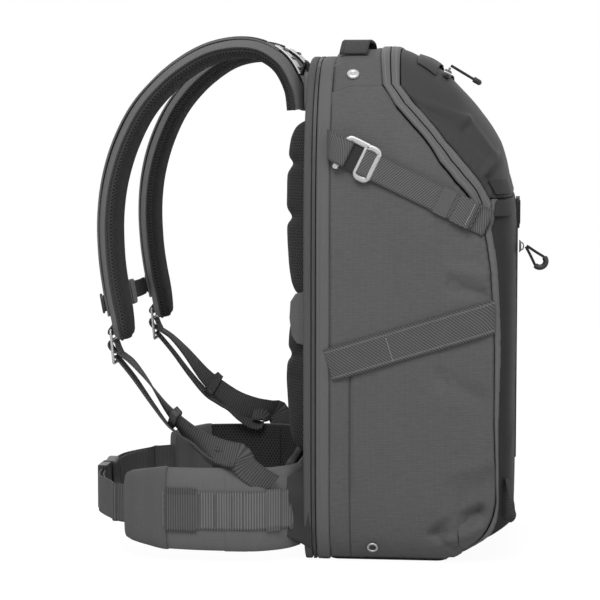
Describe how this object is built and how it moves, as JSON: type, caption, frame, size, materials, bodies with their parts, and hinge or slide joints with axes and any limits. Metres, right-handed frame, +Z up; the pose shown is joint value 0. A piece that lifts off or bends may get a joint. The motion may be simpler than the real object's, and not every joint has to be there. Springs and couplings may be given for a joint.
{
  "type": "ski backpack",
  "caption": "Stiff-backed ski backpack with a rear access door, zipped front lid, goggle pocket, side compression hooks, padded shoulder harness and buckled hip belt.",
  "frame": {"origin": "on the flat base, under the middle of the bag, 83 mm in front of the rear zip", "axes": "+Z up along the back, +Y towards the wearer (harness side), +X to the right seen from behind the harness; -X is the side that the picture shows"},
  "size_m": [0.32, 0.4611, 0.5119],
  "materials": {
    "shell_fabric": "coated ripstop, dark charcoal",
    "side_fabric": "ribbed ripstop, mid charcoal",
    "band_fabric": "woven twill, lighter grey",
    "base_fabric": "heavy coated fabric",
    "stiff_board": "pressed board",
    "harness_fabric": "padded fabric with knitted mesh lining",
    "mesh_pad": "knitted spacer mesh over foam",
    "webbing": "ribbed polyamide webbing",
    "zip": "coated zip tape",
    "cord": "coated cord",
    "dark_plastic": "moulded, fine texture",
    "dark_metal": "lacquered zinc",
    "aluminium": "satin anodised"
  },
  "bodies": {
    "bag": {"base_panel": "base_fabric", "side_panel_left": "side_fabric", "side_panel_right": "side_fabric", "top_yoke": "side_fabric", "rear_border": "side_fabric", "front_panel": "shell_fabric", "lid_zip_band": "band_fabric", "front_tab": "base_fabric", "front_zip_track": "zip", "compartment_divider": "stiff_board", "carry_handle": "webbing", "yoke_rivets": "aluminium", "drain_eyelets": "aluminium", "side_loop_left": "webbing", "side_loop_right": "webbing", "strap_anchor_left": "webbing", "strap_anchor_right": "webbing", "ski_strap_left": "webbing", "ski_strap_right": "webbing", "axe_loop": "base_fabric"},
    "lid": {"lid_shell": "shell_fabric", "goggle_flap": "base_fabric", "goggle_zip_track": "zip"},
    "goggle_zip_slider": {"goggle_slider": "dark_metal"},
    "goggle_pull": {"goggle_puller": "cord"},
    "front_zip_slider": {"front_slider": "dark_metal"},
    "front_pull": {"front_puller": "cord"},
    "lid_zip_slider": {"lid_slider": "dark_metal"},
    "door_zip_slider": {"back_slider": "dark_metal"},
    "compression_left": {"side_strap_left": "webbing", "side_hook_left": "aluminium"},
    "compression_right": {"side_strap_right": "webbing", "side_hook_right": "aluminium"},
    "door": {"back_board": "stiff_board", "door_rim": "side_fabric", "frame_stays": "aluminium", "upper_back_pad": "mesh_pad", "lumbar_pad": "mesh_pad", "belt_pad": "mesh_pad", "shoulder_yoke": "harness_fabric", "shoulder_strap_left": "harness_fabric", "shoulder_strap_right": "harness_fabric", "strap_webbing_left": "webbing", "strap_webbing_right": "webbing", "load_lifters": "webbing", "lifter_plates": "aluminium", "strap_adjusters": "aluminium", "lower_webbing_left": "webbing", "lower_webbing_right": "webbing", "webbing_keepers": "webbing", "belt_core": "band_fabric"},
    "sternum": {"sternum_strap": "webbing", "sternum_sliders": "dark_plastic"},
    "wing_left": {"hip_wing_left": "band_fabric"},
    "wing_right": {"hip_wing_right": "band_fabric"},
    "buckle_left": {"belt_webbing_left": "webbing", "hip_buckle_male": "dark_plastic"},
    "buckle_right": {"belt_webbing_right": "webbing", "hip_buckle_female": "dark_plastic"}
  },
  "joints": [
    {"name": "door_open", "type": "hinge", "parent": "bag", "child": "door", "pos_m": [0, 0.0834, 0], "axis": [-1, 0, 0], "range_deg": [0, 90]},
    {"name": "lid_open", "type": "hinge", "parent": "bag", "child": "lid", "pos_m": [0, -0.1076, 0.3556], "axis": [1, 0, 0], "range_deg": [0, 90]},
    {"name": "goggle_zip", "type": "slide", "parent": "lid", "child": "goggle_zip_slider", "axis": [1, 0, 0], "range_m": [0, 0.11]},
    {"name": "goggle_pull_swing", "type": "hinge", "parent": "goggle_zip_slider", "child": "goggle_pull", "pos_m": [-0.055, -0.04303, 0.48361], "axis": [1, 0, 0], "range_deg": [-60, 0]},
    {"name": "front_zip", "type": "slide", "parent": "bag", "child": "front_zip_slider", "axis": [0, 0, -1], "range_m": [0, 0.2]},
    {"name": "front_pull_swing", "type": "hinge", "parent": "front_zip_slider", "child": "front_pull", "pos_m": [-0.062, -0.1184, 0.306], "axis": [1, 0, 0], "range_deg": [-40, 25]},
    {"name": "lid_zip", "type": "slide", "parent": "bag", "child": "lid_zip_slider", "axis": [-0.0992, 0.5342, 0.8395], "range_m": [0, 0.052]},
    {"name": "door_zip", "type": "slide", "parent": "bag", "child": "door_zip_slider", "axis": [0, 0, 1], "range_m": [0, 0.2]},
    {"name": "compression_unhook_left", "type": "hinge", "parent": "bag", "child": "compression_left", "pos_m": [-0.146, -0.062, 0.342], "axis": [1, 0, 0], "range_deg": [0, 25]},
    {"name": "compression_unhook_right", "type": "hinge", "parent": "bag", "child": "compression_right", "pos_m": [0.146, -0.062, 0.342], "axis": [1, 0, 0], "range_deg": [0, 25]},
    {"name": "sternum_slide", "type": "slide", "parent": "door", "child": "sternum", "axis": [0, 0.1758, 0.9844], "range_m": [-0.015, 0.025]},
    {"name": "hip_wing_left", "type": "hinge", "parent": "door", "child": "wing_left", "pos_m": [-0.155, 0.16, 0.053], "axis": [0, 0, 1], "range_deg": [0, 40]},
    {"name": "hip_wing_right", "type": "hinge", "parent": "door", "child": "wing_right", "pos_m": [0.155, 0.16, 0.053], "axis": [0, 0, -1], "range_deg": [0, 40]},
    {"name": "buckle_left", "type": "hinge", "parent": "wing_left", "child": "buckle_left", "pos_m": [-0.11891, 0.28456, 0.053], "axis": [0, 0, 1], "range_deg": [-40, 0]},
    {"name": "buckle_right", "type": "hinge", "parent": "wing_right", "child": "buckle_right", "pos_m": [0.11891, 0.28456, 0.053], "axis": [0, 0, -1], "range_deg": [-40, 0]}
  ],
  "couplings": [
    {"joint": "buckle_left", "follows": "hip_wing_left", "ratio": -1},
    {"joint": "buckle_right", "follows": "hip_wing_right", "ratio": -1}
  ]
}
